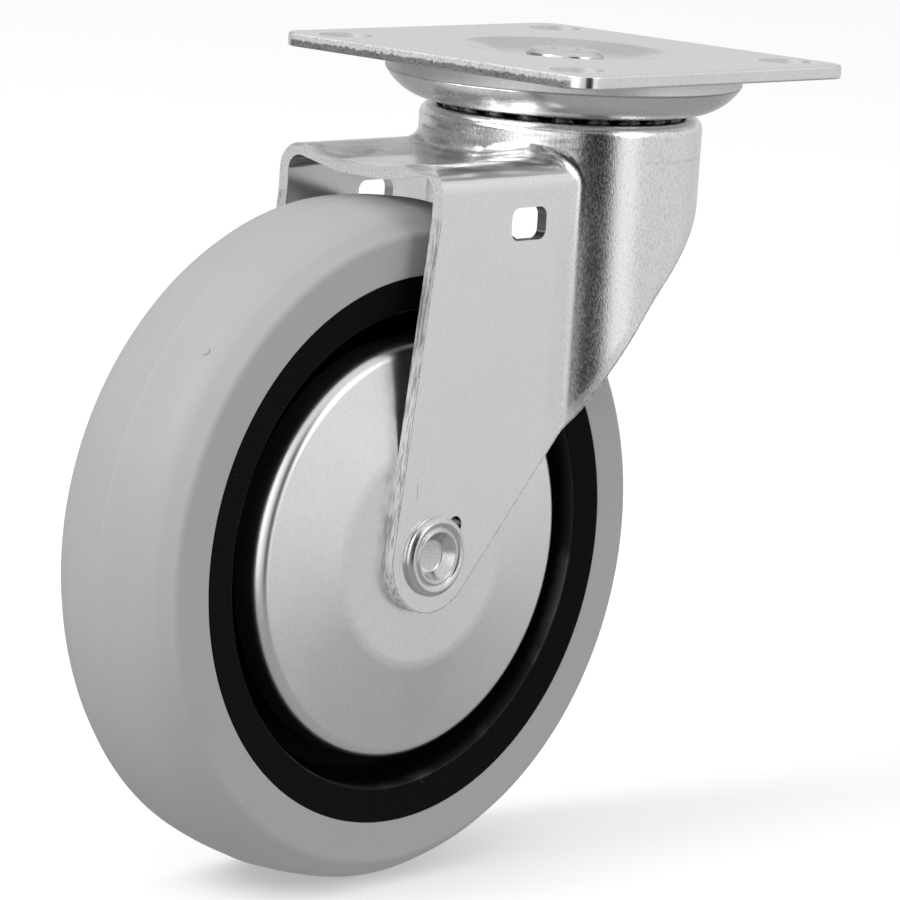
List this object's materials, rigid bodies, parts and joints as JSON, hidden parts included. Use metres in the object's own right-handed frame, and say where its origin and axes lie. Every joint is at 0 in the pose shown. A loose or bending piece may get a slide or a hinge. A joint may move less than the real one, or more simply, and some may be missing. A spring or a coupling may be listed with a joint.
{
  "type": "swivel castor",
  "caption": "Swivel castor with a slotted top plate, a pressed steel fork on a double ball race and a grey rubber-tyred wheel on ball bearings.",
  "frame": {"origin": "centre of the top plate's upper face, on the swivel axis", "axes": "+Z along the swivel axis, up and out of the top plate; the wheel trails towards -X; +Y along the wheel's axle"},
  "size_m": [0.1489, 0.077, 0.15],
  "materials": {
    "zinc_plate": "bright zinc plate on pressed sheet",
    "zinc_cup": "bright zinc plate on pressed sheet",
    "zinc_fork": "bright zinc plate on pressed sheet",
    "zinc_guard": "bright zinc plate, smoother than the fork",
    "rivet_steel": "zinc plated, formed ends",
    "ball_steel": "polished",
    "bearing_steel": "ground",
    "cage_steel": "pressed strip",
    "shield_steel": "pressed sheet",
    "grey_rubber": "satin, non-marking grey",
    "black_plastic": "matte moulded"
  },
  "bodies": {
    "plate": {"top_plate": "zinc_plate", "bearing_cup": "zinc_cup", "kingpin": "rivet_steel", "lower_race": "zinc_cup"},
    "fork": {"fork": "zinc_fork", "upper_race_balls": "ball_steel", "lower_race_balls": "ball_steel", "axle_rivet": "rivet_steel", "spacer_tube": "bearing_steel", "thread_guard_left": "zinc_guard", "thread_guard_right": "zinc_guard", "bearing_inner_ring_left": "bearing_steel", "bearing_inner_ring_right": "bearing_steel"},
    "wheel": {"tyre": "grey_rubber", "wheel_core": "black_plastic", "bearing_outer_ring_left": "bearing_steel", "bearing_outer_ring_right": "bearing_steel", "bearing_balls_left": "ball_steel", "bearing_balls_right": "ball_steel", "bearing_cage_left": "cage_steel", "bearing_cage_right": "cage_steel", "bearing_shield_left": "shield_steel", "bearing_shield_right": "shield_steel"}
  },
  "joints": [
    {"name": "swivel", "type": "hinge", "parent": "plate", "child": "fork", "pos_m": [0, 0, -0.012], "axis": [0, 0, 1], "continuous": true},
    {"name": "wheel_spin", "type": "hinge", "parent": "fork", "child": "wheel", "pos_m": [-0.0492, 0, -0.08775], "axis": [0, 1, 0], "continuous": true}
  ]
}
